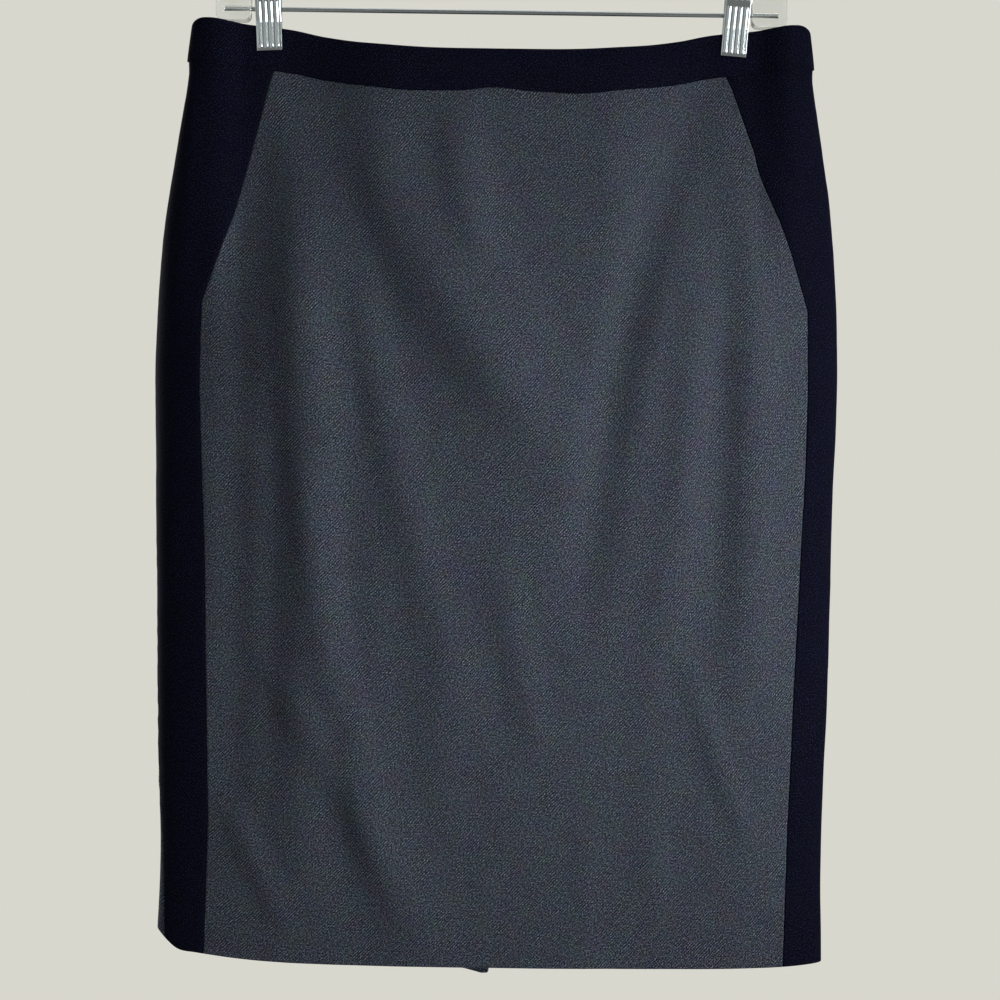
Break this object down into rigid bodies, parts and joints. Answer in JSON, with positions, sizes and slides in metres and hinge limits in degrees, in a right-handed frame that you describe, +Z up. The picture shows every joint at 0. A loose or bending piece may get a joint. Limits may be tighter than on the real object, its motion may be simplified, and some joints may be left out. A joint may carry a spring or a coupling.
{
  "type": "pencil skirt on a clip hanger",
  "caption": "Knee-length pencil skirt with a contrast waistband and side fronts, concealed back zip and back vent, held flat by the clips of a hanger with a wire hook.",
  "frame": {"origin": "inside of the hook's crown, where the rail that holds it bears", "axes": "+Z up, +X to the right of a person looking at the skirt's front, the front faces -Y"},
  "size_m": [0.4497, 0.1068, 0.7568],
  "materials": {
    "grey_wool": "charcoal heathered wool twill, matt",
    "navy_wool": "dark navy wool twill, matt",
    "zip_tape": "woven navy polyester tape and nylon coil",
    "zip_metal": "navy enamelled zinc",
    "clear_plastic": "clear moulded polystyrene",
    "polished_steel": "chromium-plated steel"
  },
  "bodies": {
    "skirt": {"front_panel": "grey_wool", "side_front_left": "navy_wool", "side_front_right": "navy_wool", "back_panel_left": "grey_wool", "back_panel_right": "grey_wool", "vent_underlap": "grey_wool", "waistband": "navy_wool", "zip_tape_left": "zip_tape", "zip_tape_right": "zip_tape", "zip_coil": "zip_tape", "zip_slider": "zip_metal", "hanger_body": "clear_plastic", "hanger_rod": "polished_steel", "hanger_hook": "polished_steel", "clip_left_front": "polished_steel", "clip_left_back": "polished_steel", "clip_left_spring": "polished_steel", "clip_right_front": "polished_steel", "clip_right_back": "polished_steel", "clip_right_spring": "polished_steel"},
    "zip_pull": {"zip_pull": "zip_metal"}
  },
  "joints": [
    {"name": "zip_pull_hinge", "type": "hinge", "parent": "skirt", "child": "zip_pull", "pos_m": [0, 0.02128, -0.1471], "axis": [1, 0, 0], "range_deg": [0, 150]}
  ]
}
